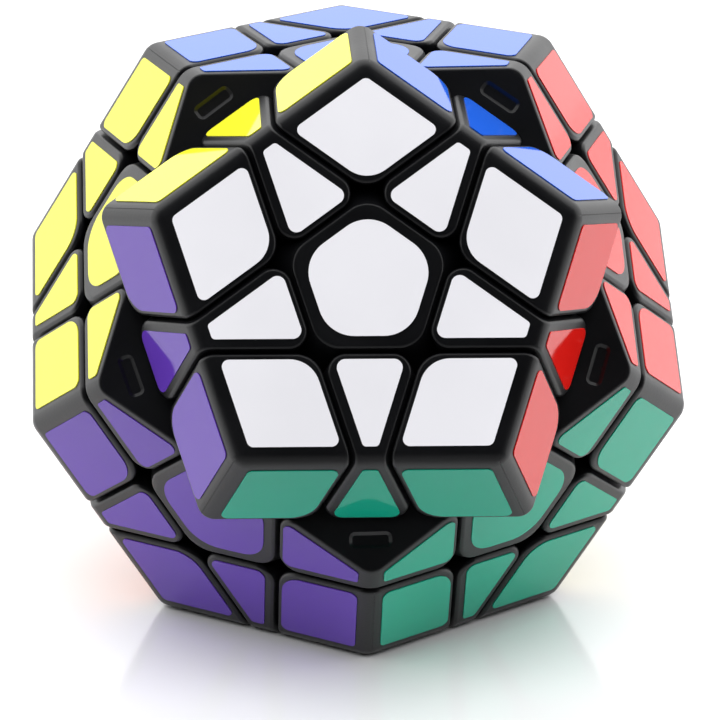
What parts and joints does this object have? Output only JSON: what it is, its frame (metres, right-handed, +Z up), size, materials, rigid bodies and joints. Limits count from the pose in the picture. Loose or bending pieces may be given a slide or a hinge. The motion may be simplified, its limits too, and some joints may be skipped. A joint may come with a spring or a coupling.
{
  "type": "dodecahedron twisty puzzle",
  "caption": "Dodecahedral twisty puzzle: black plastic pieces with coloured stickers on a sprung core, standing on a face with its front layer partly turned.",
  "frame": {"origin": "centre of the face that the puzzle stands on, at table height", "axes": "+Z up from the table; the white, partly turned layer faces -Y and leans up; +X to its right"},
  "size_m": [0.083, 0.0849, 0.0768],
  "materials": {
    "black_plastic": "satin moulded ABS",
    "core_plastic": "satin moulded nylon",
    "steel": "zinc plated",
    "sticker_white": "smooth glossy vinyl",
    "sticker_yellow": "smooth glossy vinyl",
    "sticker_blue": "smooth glossy vinyl",
    "sticker_red": "smooth glossy vinyl",
    "sticker_green": "smooth glossy vinyl",
    "sticker_purple": "smooth glossy vinyl",
    "sticker_light_blue": "smooth glossy vinyl",
    "sticker_orange": "smooth glossy vinyl",
    "sticker_cream": "smooth glossy vinyl",
    "sticker_lime": "smooth glossy vinyl",
    "sticker_pink": "smooth glossy vinyl",
    "sticker_gray": "smooth glossy vinyl"
  },
  "bodies": {
    "body": {"body_centre_base": "black_plastic", "body_centre_cap": "black_plastic", "body_corners": "black_plastic", "body_edges": "black_plastic", "body_stickers_blue": "sticker_blue", "body_stickers_cream": "sticker_cream", "body_stickers_gray": "sticker_gray", "body_stickers_green": "sticker_green", "body_stickers_orange": "sticker_orange", "body_stickers_pink": "sticker_pink", "body_stickers_purple": "sticker_purple", "body_stickers_red": "sticker_red", "body_stickers_yellow": "sticker_yellow", "core": "core_plastic", "screws": "steel", "springs": "steel", "washers": "steel"},
    "front_layer": {"front_centre_base": "black_plastic", "front_centre_cap": "black_plastic", "front_corner_1": "black_plastic", "front_corner_2": "black_plastic", "front_corner_3": "black_plastic", "front_corner_4": "black_plastic", "front_corner_5": "black_plastic", "front_edge_1": "black_plastic", "front_edge_2": "black_plastic", "front_edge_3": "black_plastic", "front_edge_4": "black_plastic", "front_edge_5": "black_plastic", "front_stickers_blue": "sticker_blue", "front_stickers_green": "sticker_green", "front_stickers_purple": "sticker_purple", "front_stickers_red": "sticker_red", "front_stickers_white": "sticker_white", "front_stickers_yellow": "sticker_yellow"},
    "bottom_layer": {"bottom_centre_base": "black_plastic", "bottom_centre_cap": "black_plastic", "bottom_corners": "black_plastic", "bottom_edges": "black_plastic", "bottom_stickers_cream": "sticker_cream", "bottom_stickers_gray": "sticker_gray", "bottom_stickers_green": "sticker_green", "bottom_stickers_light_blue": "sticker_light_blue", "bottom_stickers_orange": "sticker_orange", "bottom_stickers_purple": "sticker_purple"},
    "back_layer": {"back_centre_base": "black_plastic", "back_centre_cap": "black_plastic", "back_corners": "black_plastic", "back_edges": "black_plastic", "back_stickers_blue": "sticker_blue", "back_stickers_gray": "sticker_gray", "back_stickers_lime": "sticker_lime", "back_stickers_orange": "sticker_orange", "back_stickers_pink": "sticker_pink", "back_stickers_yellow": "sticker_yellow"}
  },
  "joints": [
    {"name": "front_turn", "type": "hinge", "parent": "body", "child": "front_layer", "pos_m": [0, 0, 0.03575], "axis": [0, -0.8944, 0.4472], "continuous": true},
    {"name": "bottom_turn", "type": "hinge", "parent": "body", "child": "bottom_layer", "pos_m": [0, 0, 0.03575], "axis": [0, 0, -1], "continuous": true},
    {"name": "back_turn", "type": "hinge", "parent": "body", "child": "back_layer", "pos_m": [0, 0, 0.03575], "axis": [-0.5257, 0.7236, 0.4472], "continuous": true}
  ]
}
